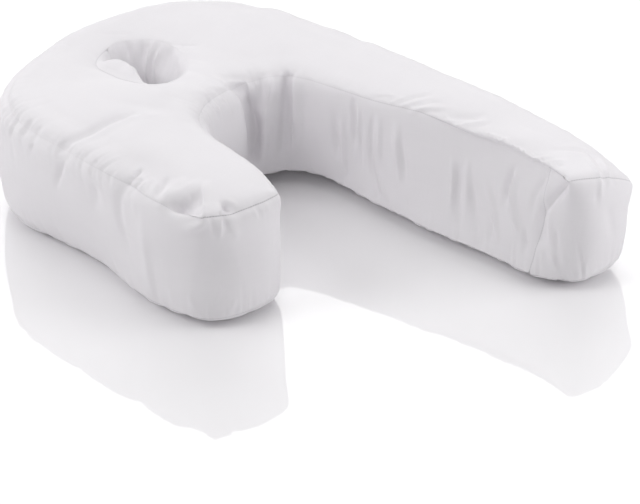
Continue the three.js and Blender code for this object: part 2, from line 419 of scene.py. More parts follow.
def calm_down(piece):
    """Smooth the cloth, but not at its stitching, its foot or where it lies on the floor."""
    spots = places(piece)
    meets = cuts_of(piece)
    seam = Seam(spots[seam_runs(piece, seam_edges(piece))[0]])
    band = stations(seam, BAND_CALM)(seam.locate(spots)[0])[:, 0]
    calm = np.where(meets[:, SIDE_BAND], band, np.where(meets[:, HOLE_LINING], LINING_CALM, 1))
    calm[meets[:, BOTTOM_PANEL]] = 0
    gap = nearest_seam(piece, seam_weights(piece))
    clear = np.clip((gap - CALM_FROM) / CALM_REACH, CALM_SEAMS, 1)
    foot = np.clip((spots[:, 2] - FOOT_CALM_FROM) / FOOT_CALM_REACH, 0, 1)
    group_from(piece, "calm", calm * clear * foot)
    activate(piece)
    calmer = piece.modifiers.new("calmer", "SMOOTH")
    calmer.factor = 0.5
    calmer.iterations = CALM_PASSES
    calmer.vertex_group = "calm"
    bpy.ops.object.modifier_apply(modifier=calmer.name)


calm_down(pillow)
subdivide(pillow, 1)

# The lining is rolled over the near side of the ear hole's rim and pulls the rim out of round: at
# directions from the hole's middle in degrees, how far out the rim lies and how far in the roll
# reaches, in mm. At the back the filling swells the lining into the hole.
EAR_RIM = [
    (-175, 1, 2),
    (-160, 1, 5),
    (-143, 2, 13),
    (-135, 2, 19),
    (-126, 1, 21),
    (-112, -3, 20),
    (-98, -5, 19),
    (-80, -4, 19),
    (-69, -3, 18),
    (-57, -1, 14),
    (-48, 1, 9),
    (-38, 5, 6),
    (-20, 8, 7),
    (-5, 5, 5),
    (15, 3, 0),
    (36, -2, 0),
    (67, -3, 0),
    (90, 0, 0),
    (110, 4, 0),
    (134, 5, 0),
    (164, 6, 0),
]
RIM_RADIUS = 0.052
RIM_REACH = 0.03
RIM_REACH_DOWN = 0.05
ROLL_DEPTH = 0.055
ROLL_RISE = 0.014
ROLL_CURVE = (0.6, 1.6)
ROLL_CURVE_PEAK = 0.86
FULL_ROLL = 0.02
LINING_SWELL = 0.016
SWELL_TURN = 85

spots = places(pillow)
meets = cuts_of(pillow)
out = spots[:, :2] - np.array(EAR_HOLE.xy)
distance = np.linalg.norm(out, axis=1)
way = out / np.maximum(distance, 1e-9)[:, None]
table = np.array(EAR_RIM)
turn = np.degrees(np.arctan2(out[:, 1], out[:, 0]))
rim_out, roll_in = (
    np.interp(turn, table[:, 0], column, period=360) / 1000 for column in table[:, 1:].T)
depth = HOLE_RIMS[0] - spots[:, 2]
beside_rim = np.where(
    meets[:, HOLE_LINING], depth / RIM_REACH_DOWN, (distance - RIM_RADIUS) / RIM_REACH)
near_rim = np.exp(-beside_rim ** 2) * (meets[:, HOLE_LINING] | meets[:, TOP_PANEL])
outwards = rim_out * near_rim
rolled = meets[:, HOLE_LINING] & (depth > 0) & (depth < ROLL_DEPTH)
share = np.where(rolled, depth / ROLL_DEPTH, 0)
arch = 3 * (1 - share) * share
curve = arch * (ROLL_CURVE[0] * (1 - share) + ROLL_CURVE[1] * share)
outwards -= roll_in * curve / ROLL_CURVE_PEAK
at_back = np.clip(np.cos(np.radians(turn - SWELL_TURN)), 0, 1) * meets[:, HOLE_LINING]
way_down = np.clip(depth / (HOLE_RIMS[0] - HOLE_RIMS[1]), 0, 1)
outwards -= LINING_SWELL * at_back * np.sin(math.pi * way_down)
spots[:, :2] += way * outwards[:, None]
rise = arch * ROLL_RISE - ROLL_DEPTH * share ** 3
held = np.minimum(roll_in / FULL_ROLL, 1) * rolled
spots[:, 2] += held * (depth + rise)
set_places(pillow, spots)

rings = seam_runs(pillow, seam_edges(pillow))
posts = seam_runs(pillow, seam_edges(pillow, stitched=False))
top_seam, foot_seam = (Seam(spots[ring]) for ring in rings[:2])

# The pillow's weight spreads the foot of the band outwards, and the filling lifts the foot seam off
# the floor: how far out and how far up, in mm, at places along the seam in mm.
FOOT_SPREAD = [
    (84, -120, 8, 3, 4),
    (50, -205, 8, 7, 4),
    (-20, -203, 8, 10, 4),
    (-60, -200, 8, 8, 4),
    (-110, -195, 8, 4, 4),
    (-180, -185, 8, 7, 4),
    (-250, -160, 8, 10, 4),
    (-330, 0, 8, 3, 4),
    (0, 210, 8, 2, 4),
    (300, 185, 8, -4, 4),
    (330, 168, 8, -8, 4),
    (335, 120, 8, -2, 4),
    (310, 84, 8, 5, 4),
    (280, 92, 8, 12, 4.5),
    (150, 135, 8, 15, 5.5),
    (80, 118, 8, 17, 7),
    (0, 115, 8, 18, 8.5),
    (-60, 95, 8, 15, 8.5),
    (-90, 50, 8, 10, 8),
    (40, -92, 8, 4, 4),
]
FOOT_SEAM_HEIGHT = 0.008
SPREAD_FROM = 0.07
SPREAD_CURVE = 1.7
PANEL_SPREAD = 0.04
PANEL_LIFT = 0.026
SEAM_SPAN = 3

spots = places(pillow)
ring = foot_seam.spots
step = np.roll(ring, -SEAM_SPAN, 0) - np.roll(ring, SEAM_SPAN, 0)
facing = np.stack([step[:, 1], -step[:, 0]], 1) / np.linalg.norm(step[:, :2], axis=1)[:, None]
x, y = ring[:, 0], ring[:, 1]
runs_clockwise = np.sum(x * np.roll(y, -1) - y * np.roll(x, -1)) < 0
if runs_clockwise:
    facing = -facing
along, away = foot_seam.locate(spots)
facing = np.stack([np.interp(along, foot_seam.reach, side) for side in facing.T], 1)
spread, lift = stations(foot_seam, FOOT_SPREAD)(along).T / 1000
low = np.clip((SPREAD_FROM - spots[:, 2]) / (SPREAD_FROM - FOOT_SEAM_HEIGHT), 0, 1)
in_band = meets[:, SIDE_BAND] * low ** SPREAD_CURVE
in_panel = meets[:, BOTTOM_PANEL]
spread *= np.where(in_panel, np.exp(-(away / PANEL_SPREAD) ** 2), in_band)
lift *= np.where(in_panel, np.exp(-(away / PANEL_LIFT) ** 2), in_band ** 2)
spots[:, :2] += facing * spread[:, None]
spots[:, 2] += lift
set_places(pillow, spots)
foot_seam = Seam(spots[rings[1]])

# The filling puffs the cloth up on both sides of the top seam, so that the seam lies in a dip of its
# own: how far in the panel and how far in the band, in mm, at places along the seam in mm.
PUFF_REACH = 0.04
PUFF_TO_SEAM = 0.6
PUFFS = [
    (58, -210, 138, 1.5, 1.5),
    (0, -209, 139, 2.0, 2.5),
    (-55, -200, 140, 2.5, 3.0),
    (-155, -184, 140, 3.0, 4.0),
    (-250, -160, 139, 4.0, 5.0),
    (-320, -75, 139, 4.0, 4.5),
    (-335, 30, 139, 3.5, 3.5),
    (-200, 206, 139, 3.0, 3.0),
    (0, 206, 139, 2.5, 2.5),
    (200, 186, 135, 2.0, 2.5),
    (345, 172, 104, 1.0, 1.5),
    (321, 83, 137, 0.5, 1.0),
    (200, 113, 143, 0.5, 0.5),
    (90, 110, 141, 0.5, 0.5),
    (-65, 100, 137, 1.5, 1.5),
    (-106, 15, 137, 3.0, 4.0),
    (-60, -48, 137, 2.5, 3.0),
    (40, -92, 137, 2.0, 1.5),
    (89, -116, 136, 1.5, 1.5),
]

spots = places(pillow)
along, away = top_seam.locate(spots)
puff = stations(top_seam, PUFFS)(along) / 1000
height = np.where(meets[:, SIDE_BAND], puff[:, 1], puff[:, 0])
height[meets[:, BOTTOM_PANEL] | meets[:, HOLE_LINING]] = 0
height *= np.sin(math.pi * np.minimum(away / PUFF_REACH, 1) ** PUFF_TO_SEAM) ** 2
set_places(pillow, spots + outward(pillow) * height[:, None])

# The stitching gathers the cloth into small puckers across the seams. For places along a seam: how
# far apart, how deep and how far into the panel and the band, in mm, and how much they slant.
TOP_PUCKERS = [
    (58, -210, 138, 11, 0.5, 7, 6, 0),
    (30, -210, 139, 6, 0.7, 7, 6, 0.3),
    (-20, -205, 140, 5.5, 2.0, 8, 9, 0.4),
    (-70, -192, 140, 6.5, 2.4, 11, 14, 0.4),
    (-110, -190, 140, 8, 2.2, 12, 17, 0.4),
    (-200, -175, 139, 10, 2.6, 14, 22, 0.3),
    (-300, -110, 139, 12, 2.2, 14, 24, 0),
    (-335, 30, 139, 14, 1.0, 12, 16, 0),
    (-200, 206, 139, 11, 1.0, 12, 14, -0.3),
    (0, 206, 139, 8, 0.9, 10, 9, -0.3),
    (200, 186, 135, 7, 0.9, 10, 9, 0.3),
    (345, 172, 104, 10, 0.6, 8, 7, 0),
    (335, 120, 125, 14, 0.4, 8, 8, 0),
    (321, 83, 137, 9, 0.5, 7, 5, 0),
    (290, 98, 140, 6.5, 1.0, 11, 6, 0.6),
    (235, 112, 142, 6.5, 0.9, 11, 6, 0.7),
    (190, 113, 142, 9, 0.4, 8, 6, 0.5),
    (40, 108, 139, 10, 0.35, 7, 7, 0.3),
    (-50, 102, 137, 8, 0.6, 8, 9, 0),
    (-100, 60, 137, 9, 0.9, 14, 16, 0),
    (-100, 5, 137, 9, 1.1, 16, 20, 0),
    (-50, -55, 137, 9, 0.8, 12, 12, 0),
    (60, -100, 136, 10, 0.6, 8, 8, 0),
    (89, -116, 136, 11, 0.5, 7, 6, 0),
]
FOOT_PUCKERS = [
    (50, -205, 8, 10, 1.2, 0, 16, 0),
    (-100, -190, 8, 8, 1.4, 0, 14, 0.3),
    (-330, 0, 8, 11, 1.3, 0, 18, 0),
    (0, 210, 8, 9, 0.8, 0, 12, -0.3),
    (330, 168, 8, 9, 1.5, 0, 20, 0),
    (300, 86, 8, 8, 1.8, 0, 22, 0.2),
    (150, 135, 8, 9, 1.2, 0, 15, 0.2),
    (-80, 90, 8, 12, 0.7, 0, 9, 0),
]
PUCKER_STEPS = 4001
PUCKER_DRIFTS = 400
PUCKER_DRIFT = 0.22
PUCKERS_AT_MOST = 997
PUCKER_DEPTHS = (0.15, 1.5)
PUCKER_REACHES = (0.5, 1.6)
HELD_BY_STITCH = 0.35
STITCH_HOLD = 0.004
PUCKER_FADE = 1.4


def gather(piece, seam, rows, seed):
    """How far the puckers across a seam press in each vertex."""
    chance = np.random.default_rng(seed)
    values = stations(seam, rows)
    grid = np.linspace(0, seam.length, PUCKER_STEPS)
    pitch = values(grid)[:, 0] / 1000
    count = np.concatenate([[0], np.cumsum(np.diff(grid) / (0.5 * (pitch[1:] + pitch[:-1])))])
    count *= round(count[-1]) / count[-1]
    drift = chance.normal(0, PUCKER_DRIFT, PUCKER_DRIFTS)
    drift[-1] = drift[0]
    along, away = seam.locate(places(piece))
    _, depth, panel_reach, band_reach, slant = values(along).T
    at = (along + slant * away) % seam.length
    drift_at = np.linspace(0, seam.length, PUCKER_DRIFTS)
    turn = np.interp(at, grid, count) + np.interp(at, drift_at, drift)
    which = np.floor(turn).astype(int) % PUCKERS_AT_MOST
    depth = depth / 1000 * chance.uniform(*PUCKER_DEPTHS, PUCKERS_AT_MOST)[which]
    reach = np.where(meets[:, SIDE_BAND], band_reach, panel_reach) / 1000
    reach = np.maximum(reach * chance.uniform(*PUCKER_REACHES, PUCKERS_AT_MOST)[which], 1e-4)
    wave = np.sin(math.pi * (turn - np.floor(turn))) ** 2
    at_stitches = HELD_BY_STITCH + (1 - HELD_BY_STITCH) * np.minimum(away / STITCH_HOLD, 1)
    return -depth * wave * np.exp(-(away / reach) ** PUCKER_FADE) * at_stitches


gathered = (gather(pillow, top_seam, TOP_PUCKERS, seed=11)
            + gather(pillow, foot_seam, FOOT_PUCKERS, seed=12))
set_places(pillow, places(pillow) + outward(pillow) * gathered[:, None])

# The creases and swells that the cloth has taken on, each as it lies: how wide, how far pushed in
# (-) or out in mm, how sharp from 0 to 1, how far it leans over to the left of its run in mm, how
# much is left at its first and last place, then the places it runs through in mm. One of them is
# wide and lets the long arm's top seam sag.
FOLDS = {}
FOLDS["over_short_arm_root"] = [
    (18, -4.2, 0.2, 0, 0.6, 0, (-163, -182, 136), (-158, -174, 144), (-151, -165, 148),
     (-147, -153, 150), (-144, -140, 153), (-141, -127, 155), (-136, -113, 156), (-128, -99, 156),
     (-121, -83, 155)),
    (18, 2, 0.1, 0, 0.5, 0, (-160, -182, 136), (-149, -176, 145), (-140, -167, 149),
     (-135, -155, 152), (-131, -142, 154), (-128, -124, 156), (-124, -105, 156), (-115, -90, 155),
     (-104, -78, 152)),
    (32, -1.6, 0, 0, 0, 0, (-163, -98, 158), (-146, -87, 157), (-127, -76, 155), (-108, -57, 148)),
]
FOLDS["head_side"] = [
    (11, -3.8, 0.4, 0, 0.5, 0, (-151, -187, 133), (-157, -192, 120), (-164, -191, 105),
     (-168, -191, 89)),
    (8, 1.5, 0.3, 0, 0.3, 0, (-145, -187, 135), (-140, -194, 127), (-137, -195, 116)),
    (7, -2.8, 0.5, 0, 0, 0, (-207, -179, 132), (-208, -183, 125), (-212, -184, 113)),
    (10, -2.2, 0.2, 0, 0, 0, (-224, -161, 147), (-225, -169, 138), (-221, -179, 131)),
    (10, -3.8, 0.3, 0, 0, 0, (-247, -159, 141), (-249, -165, 133), (-249, -169, 128),
     (-253, -171, 113)),
    (8, 1.2, 0.2, 0, 0, 0, (-236, -164, 140), (-233, -173, 135), (-232, -179, 125)),
    (10, -1.1, 0.2, 0, 0, 0, (-211, -155, 150), (-206, -167, 146), (-205, -174, 138)),
    (5, -1.6, 0.5, 0, 0.5, 0, (-121, -186, 143), (-120, -190, 140), (-120, -194, 136)),
    (5, -1.6, 0.5, 0, 0.5, 0, (-107, -188, 145), (-107, -189, 142), (-104, -193, 139)),
    (5, 1.6, 0.5, 0, 0.5, 0, (-99, -187, 147), (-101, -191, 142), (-106, -196, 133)),
    (22, -2.8, 0, 0, 0, 0, (-100, -201, 123), (-101, -200, 105), (-101, -200, 88)),
]
FOLDS["short_arm_edge"] = [
    (55, -3.5, 0, 0, 0, 0.3, (-90, -181, 150), (-65, -181, 149), (-32, -186, 149), (-1, -193, 147)),
    (7.5, -8, 1, 0, 0, 1, (-52, -176, 150), (-52, -186, 148), (-53, -193, 144), (-55, -199, 137)),
    (6, -5, 1, 0, 0, 1, (-40, -189, 148), (-39, -197, 145), (-41, -202, 139)),
    (5, 1, 0.5, 0, 0, 0.5, (-47, -184, 149), (-45, -192, 146), (-49, -199, 139)),
    (6, 1.2, 0.4, 0, 0, 0.5, (-34, -189, 148), (-33, -197, 146), (-33, -202, 142)),
    (15, -3.6, 0.3, 0, 0, 0.7, (-16, -173, 151), (-11, -190, 148), (-7, -204, 143)),
    (6.5, 2.4, 0.7, 0, 0, 0.7, (-21, -186, 149), (-16, -197, 146), (-12, -207, 140)),
    (8, -1, 0.3, 0, 0, 0.5, (-29, -188, 148), (-24, -198, 146), (-21, -205, 141)),
    (15, 2, 0.2, 0, 0, 0.3, (5, -168, 151), (3, -188, 148), (2, -207, 142)),
]
FOLDS["short_arm_side"] = [
    (17, -3, 0.2, 0, 0.8, 0, (-56, -202, 133), (-61, -205, 119), (-63, -205, 103), (-58, -207, 86),
     (-49, -208, 68), (-46, -209, 54)),
    (12, 1.3, 0.2, 0, 0.3, 0, (-38, -207, 133), (-35, -210, 123), (-37, -210, 108)),
    (8, 1, 0.3, 0, 0.5, 0, (-14, -210, 135), (-14, -213, 131), (-14, -214, 126)),
    (18, 1.6, 0.2, 0, 0, 0.5, (-22, -214, 123), (-23, -213, 98), (-23, -214, 74), (-19, -214, 44),
     (-10, -214, 18)),
]
FOLDS["short_arm_end"] = [
    (18, -11, 0.2, 0, 0.3, 0.8, (12, -209, 137), (23, -207, 138), (35, -206, 140), (44, -204, 141),
     (50, -200, 142)),
    (22, -9, 0.1, 0, 0.2, 0.8, (18, -203, 140), (27, -200, 141), (35, -196, 142), (41, -190, 144)),
    (18, -5.5, 0.1, 0, 0.2, 0.8, (25, -193, 145), (31, -188, 146), (35, -181, 147)),
    (9, 5.5, 0.7, -3, 0.2, 0.6, (28, -163, 151), (38, -176, 148), (47, -186, 144), (55, -198, 141),
     (60, -204, 137)),
    (12, 1.8, 0.2, 0, 0.2, 0.2, (8, -204, 142), (12, -191, 147), (16, -178, 149), (20, -167, 151)),
    (13, -9, 0.3, 0, 0.4, 0.5, (61, -179, 143), (66, -178, 140), (71, -176, 137)),
    (14, -4.4, 0.2, 0, 0.6, 0.2, (70, -186, 136), (74, -189, 129), (75, -191, 118)),
    (6.5, 3.4, 1, 3, 0.3, 0.1, (56, -178, 144), (65, -189, 139), (70, -195, 131), (71, -196, 119),
     (70, -195, 108)),
    (6.5, 1.8, 0.5, 0, 0.2, 0.2, (58, -176, 144), (62, -171, 143), (69, -169, 141),
     (76, -168, 137)),
    (8, -2.2, 0.3, 0, 0.7, 0, (64, -200, 136), (67, -201, 126), (68, -198, 112)),
    (15, 3.6, 0.3, 0, 0.3, 0.4, (37, -214, 119), (47, -212, 123), (56, -209, 128), (62, -204, 132)),
    (6, -2.6, 0.5, 0, 0.2, 0.5, (39, -212, 131), (47, -211, 131), (55, -209, 133)),
    (10, -2, 0.2, 0, 0.2, 0.2, (34, -214, 109), (48, -211, 112), (61, -205, 119)),
    (80, -6, 0, 0, 0.5, 0.5, (2, -215, 68), (29, -214, 74), (52, -207, 76), (70, -195, 79),
     (82, -180, 83)),
    (12, 1.6, 0.2, 0, 0.2, 0.2, (78, -183, 123), (81, -180, 115), (81, -179, 105)),
    (7, -2.2, 0.5, 0, 1, 0, (85, -152, 135), (89, -151, 129), (91, -149, 120)),
    (5, 1.5, 0.7, 0, 0.8, 0, (85, -156, 134), (88, -154, 128), (90, -153, 120)),
    (6, 1.3, 0.6, 0, 0.8, 0, (87, -140, 135), (90, -139, 130), (92, -138, 124)),
    (9, 1.3, 0.2, 0, 0, 0.3, (14, -215, 40), (16, -215, 29), (19, -214, 19)),
    (9, 1.3, 0.2, 0, 0, 0.3, (36, -213, 35), (42, -212, 29), (47, -210, 22)),
    (9, 1.5, 0.2, 0, 0, 0.3, (71, -194, 50), (67, -198, 42), (63, -202, 31)),
    (8, 1.2, 0.2, 0, 0, 0.3, (79, -183, 37), (78, -185, 29), (76, -187, 21)),
]
FOLDS["inner_bend"] = [
    (17, -11, 0.2, 0, 0.3, 0.9, (-104, 52, 131), (-98, 54, 120), (-98, 59, 103), (-96, 61, 87),
     (-95, 61, 71), (-96, 60, 54), (-97, 58, 41)),
    (40, 3, 0, 0, 0.3, 0.8, (-102, 22, 133), (-96, 25, 119), (-94, 32, 102), (-91, 32, 87),
     (-90, 32, 75)),
    (26, -6, 0.1, 0, 1, 0, (-98, 65, 136), (-92, 64, 125), (-91, 65, 111), (-90, 66, 96)),
    (12, 3.4, 0.2, 0, 0.6, 0.4, (-85, 78, 135), (-84, 73, 122), (-85, 70, 108), (-86, 68, 91),
     (-88, 66, 75), (-89, 65, 58)),
    (17, -5.2, 0.1, 0, 0.7, 0.3, (-76, 95, 133), (-73, 92, 118), (-73, 91, 98), (-74, 89, 80),
     (-76, 88, 60), (-78, 86, 42)),
    (15, 3.6, 0.3, -5, 0.7, 0.5, (-62, 99, 135), (-58, 95, 121), (-58, 94, 101), (-59, 94, 83),
     (-63, 95, 62), (-67, 95, 43)),
    (8, -3, 0.5, 0, 0, 0, (-60, 93, 88), (-61, 94, 77), (-63, 95, 65), (-64, 95, 53)),
    (12, -1.6, 0.2, 0, 0, 0.2, (-82, 75, 84), (-84, 75, 63), (-86, 73, 42)),
    (7, -1.7, 0.4, 0, 0, 0, (-92, -31, 134), (-86, -30, 127), (-90, -16, 109)),
    (6, 1.3, 0.4, 0, 0, 0, (-104, 2, 135), (-98, 1, 129), (-95, 4, 119)),
    (6, -1.3, 0.4, 0, 0, 0, (-109, -2, 140), (-102, -3, 134), (-96, -3, 126)),
    (6, 0.9, 0.3, 0, 0, 0, (-109, -24, 143), (-99, -24, 137), (-91, -25, 130)),
    (6, -1, 0.3, 0, 0, 0, (-104, 17, 134), (-98, 17, 128), (-96, 19, 121)),
]
FOLDS["bend_panel"] = [
    (13, -1.4, 0.1, 0, 0, 0, (-135, 37, 144), (-121, 44, 142), (-109, 55, 140), (-102, 64, 139)),
    (9, 1.3, 0.2, 0, 0, 0.3, (-115, 31, 140), (-111, 48, 137), (-100, 58, 136), (-97, 68, 136)),
    (4.5, 0.9, 0.4, 0, 0, 0.4, (-93, 88, 142), (-96, 80, 141), (-100, 71, 139)),
    (4, -0.8, 0.4, 0, 0, 0.3, (-89, 85, 140), (-93, 79, 140), (-97, 73, 138)),
    (6, -1, 0.4, 0, 0, 0, (-305, 33, 145), (-294, 46, 143), (-282, 58, 142), (-267, 67, 141),
     (-259, 70, 140)),
    (7, -1.1, 0.3, 0, 0, 0, (-220, 75, 139), (-205, 79, 141), (-190, 82, 144)),
]
FOLDS["long_arm_seam"] = [
    (100, -4, 0, -9, 0, 0, (104, 111, 138), (128, 112, 138), (158, 114, 139), (190, 115, 140),
     (217, 115, 142), (232, 114, 141), (259, 109, 139), (285, 101, 138), (317, 86, 137)),
]
FOLDS["long_arm_top"] = [
    (8, -1.4, 0.3, 0, 0.6, 0, (38, 107, 138), (46, 112, 140), (57, 118, 141)),
    (7, 1, 0.2, 0, 0, 0, (39, 111, 140), (50, 116, 141), (61, 122, 143)),
    (6, 1.6, 0.4, 0, 0.5, 0, (60, 108, 137), (64, 112, 140), (68, 118, 142), (71, 123, 143)),
    (5, -1, 0.3, 0, 0.5, 0, (56, 109, 138), (60, 114, 140), (64, 119, 142)),
    (8, -2.2, 0.4, 0, 0.8, 0, (71, 112, 140), (75, 119, 142), (80, 125, 144), (90, 134, 146),
     (99, 144, 147)),
    (6, 2.1, 0.5, 0, 0.8, 0, (76, 109, 138), (83, 115, 141), (89, 122, 143), (95, 128, 145)),
    (8, -2.1, 0.4, 0, 0.3, 0, (90, 114, 141), (98, 122, 144), (105, 129, 145), (114, 136, 146)),
    (9, 2, 0.3, 0, 0.8, 0, (90, 109, 136), (100, 113, 140), (111, 121, 143), (124, 129, 145),
     (136, 137, 146)),
    (6, -1.2, 0.3, 0, 0.5, 0, (99, 110, 137), (112, 116, 142), (123, 123, 144)),
    (13, -3.1, 0.3, 0, 0.3, 0, (131, 115, 142), (138, 122, 144), (148, 129, 145), (162, 136, 146),
     (170, 148, 146)),
    (6, 1.3, 0.3, 0, 0.5, 0, (129, 112, 139), (139, 117, 143), (147, 123, 144)),
    (7, 2.5, 0.5, 0, 0.8, 0, (152, 116, 142), (157, 122, 144), (164, 126, 145), (171, 132, 145),
     (179, 140, 145)),
    (5, -1.7, 0.5, 0, 0.5, 0, (144, 115, 141), (150, 121, 143), (157, 126, 144)),
    (6, -1.3, 0.3, 0, 0.2, 0, (172, 125, 144), (178, 132, 145), (184, 141, 145)),
]
FOLDS["long_arm_small_tucks"] = [
    (6, 3.8, 0.6, 0, 0.8, 0.2, (193, 117, 143), (193, 120, 144), (195, 125, 144)),
    (6, 3.8, 0.6, 0, 0.8, 0.2, (199, 117, 143), (200, 121, 144), (203, 126, 144)),
    (6, 3.4, 0.6, 0, 0.8, 0.2, (206, 117, 143), (207, 121, 144), (209, 125, 144)),
    (6, 4.2, 0.6, 0, 0.8, 0.2, (214, 117, 143), (215, 121, 144), (218, 125, 144)),
    (6, 3.8, 0.6, 0, 0.8, 0.2, (222, 117, 143), (223, 120, 144), (225, 122, 144)),
    (6, 4.2, 0.6, 0, 0.8, 0.2, (230, 116, 143), (231, 118, 144), (233, 121, 144)),
    (6, 3.4, 0.6, 0, 0.8, 0.2, (237, 115, 143), (238, 118, 143), (241, 120, 144)),
    (6, 3, 0.6, 0, 0.8, 0.2, (246, 114, 142), (247, 116, 143), (249, 119, 143)),
]
FOLDS["long_arm_inside"] = [
    (10, -5.4, 0.3, 0, 0.7, 0.1, (14, 102, 129), (16, 100, 116), (16, 100, 102), (16, 100, 88),
     (14, 101, 66)),
    (5.5, 4.3, 0.7, 0, 0.35, 0.1, (22, 101, 124), (24, 100, 109), (24, 99, 91), (23, 100, 70)),
    (8, -3.4, 0.3, 0, 0.1, 0.1, (43, 102, 124), (43, 101, 116), (41, 100, 102), (40, 99, 86),
     (38, 100, 62)),
    (8, 2.7, 0.2, 0, 0.1, 0.1, (50, 103, 124), (51, 101, 116), (51, 100, 99), (51, 99, 83),
     (51, 100, 60)),
    (10, -2.4, 0.2, 0, 0.1, 0.1, (27, 100, 110), (26, 99, 93), (23, 100, 71), (24, 101, 51),
     (25, 100, 41)),
    (9, -4.6, 0.4, 0, 0.1, 0.6, (38, 99, 85), (39, 100, 65), (42, 100, 49), (47, 98, 37),
     (52, 95, 24)),
    (8, 3.9, 0.3, 0, 0.35, 0.5, (54, 98, 49), (57, 96, 35), (63, 93, 26)),
    (10, 3, 0.2, 0, 0.1, 0.1, (0, 101, 119), (0, 100, 104), (0, 101, 76), (-3, 103, 48),
     (-3, 104, 38)),
    (12, -3.4, 0.2, 0, 0.1, 0.1, (-11, 99, 111), (-10, 99, 94), (-10, 101, 73), (-11, 103, 50),
     (-11, 103, 42)),
    (5, -4.1, 0.6, 0, 0.35, 0.5, (1, 103, 50), (1, 103, 41), (2, 102, 31)),
    (12, 3, 0.2, 0, 0.1, 0.1, (74, 104, 123), (75, 103, 114), (75, 100, 90), (78, 100, 69),
     (80, 98, 50)),
    (8, -2.6, 0.2, 0, 0.1, 0.1, (80, 102, 106), (83, 100, 88), (85, 100, 78), (86, 99, 66),
     (89, 97, 48)),
    (7, 3.3, 0.3, 0, 0.1, 0.1, (150, 105, 106), (153, 101, 86), (155, 99, 74), (155, 96, 58),
     (157, 92, 40)),
    (14, -3.9, 0.1, 0, 0.1, 0.35, (161, 104, 101), (162, 100, 81), (162, 96, 55), (171, 88, 29)),
    (8, 2.7, 0.2, 0, 0.1, 0.1, (171, 106, 111), (172, 103, 95), (174, 99, 75), (176, 97, 59),
     (179, 92, 42)),
    (12, -3.1, 0.1, 0, 0.1, 0.35, (179, 101, 83), (183, 98, 64), (188, 94, 50), (195, 89, 34)),
    (8, 3.9, 0.3, 0, 0.1, 0.35, (196, 103, 93), (202, 100, 78), (211, 97, 64), (217, 93, 50),
     (226, 85, 32)),
    (6, -2.6, 0.3, 0, 0.35, 0.35, (212, 91, 44), (213, 89, 35), (214, 85, 25)),
    (14, -5.5, 0.2, 0, 0.3, 0.3, (232, 106, 119), (231, 103, 106), (228, 100, 90), (226, 97, 76),
     (226, 95, 65)),
    (10, 5.6, 0.3, -2, 0.2, 0, (238, 105, 116), (236, 101, 100), (237, 97, 86), (244, 93, 71),
     (249, 89, 56), (254, 85, 41)),
    (7, -4.1, 0.4, 0, 0.35, 0.35, (260, 88, 55), (264, 84, 42), (268, 80, 32)),
]
FOLDS["long_arm_pinch"] = [
    (9, -3.4, 0.6, 0, 1, 0.2, (279, 100, 129), (278, 98, 121), (272, 97, 108), (268, 95, 95),
     (267, 93, 83), (267, 91, 70)),
    (12, -6.7, 0.5, 0, 0.8, 0.5, (318, 86, 131), (310, 88, 121), (301, 91, 111), (293, 91, 99),
     (286, 91, 89), (281, 90, 78)),
    (22, -5.9, 0, 0, 0.5, 0, (280, 91, 83), (282, 88, 68), (285, 85, 54), (288, 82, 40)),
    (8, 2, 0.5, 0, 0.2, 0, (295, 90, 93), (295, 88, 78), (296, 86, 64), (298, 83, 49)),
    (12, 1.5, 0.2, 0, 0, 0, (287, 96, 125), (285, 94, 109), (282, 93, 95)),
]
FOLDS["long_arm_end"] = [
    (10, -2.6, 0.3, 0, 0, 0, (265, 119, 142), (276, 132, 141), (287, 144, 138), (298, 153, 134),
     (308, 151, 132), (320, 141, 133), (332, 129, 133), (340, 123, 129), (344, 121, 119)),
    (7, 3, 0.5, 0, 0, 0, (304, 141, 136), (316, 136, 135), (331, 125, 135), (339, 117, 129),
     (342, 115, 117), (343, 115, 103)),
    (7, 2.6, 0.5, 0, 0, 0, (305, 164, 127), (319, 152, 128), (334, 136, 130), (342, 128, 125),
     (345, 124, 113)),
    (15, 1.8, 0.2, 0, 0, 0, (280, 103, 137), (290, 113, 140), (301, 121, 139)),
    (6, -1.2, 0.3, 0, 0, 0, (295, 104, 140), (298, 107, 140), (302, 109, 140)),
    (6, -1.8, 0.5, 0, 0.2, 0.2, (308, 91, 136), (314, 89, 137), (318, 92, 138)),
    (5, 2.6, 0.6, 0, 0, 0.3, (300, 83, 44), (303, 82, 37), (305, 81, 28)),
    (6.5, 2.4, 0.4, 0, 0, 0.3, (313, 86, 49), (316, 86, 39), (315, 84, 27)),
    (6, -2.3, 0.3, 0, 0, 0, (304, 86, 71), (306, 85, 58), (306, 84, 45)),
    (6, -1.3, 0.3, 0, 0, 0.3, (291, 82, 43), (294, 81, 35), (297, 79, 27)),
    (6, 0.9, 0.3, 0, 0, 0.3, (320, 88, 45), (322, 88, 38), (323, 89, 29)),
    (4, -1.3, 0.5, 0, 0, 0.3, (336, 100, 41), (334, 98, 36), (330, 95, 30)),
    (8, -0.9, 0.2, 0, 0, 0, (340, 110, 121), (341, 110, 111), (341, 110, 98)),
    (18, -1.6, 0, 0, 0, 0, (345, 121, 100), (348, 126, 76), (348, 132, 51)),
]
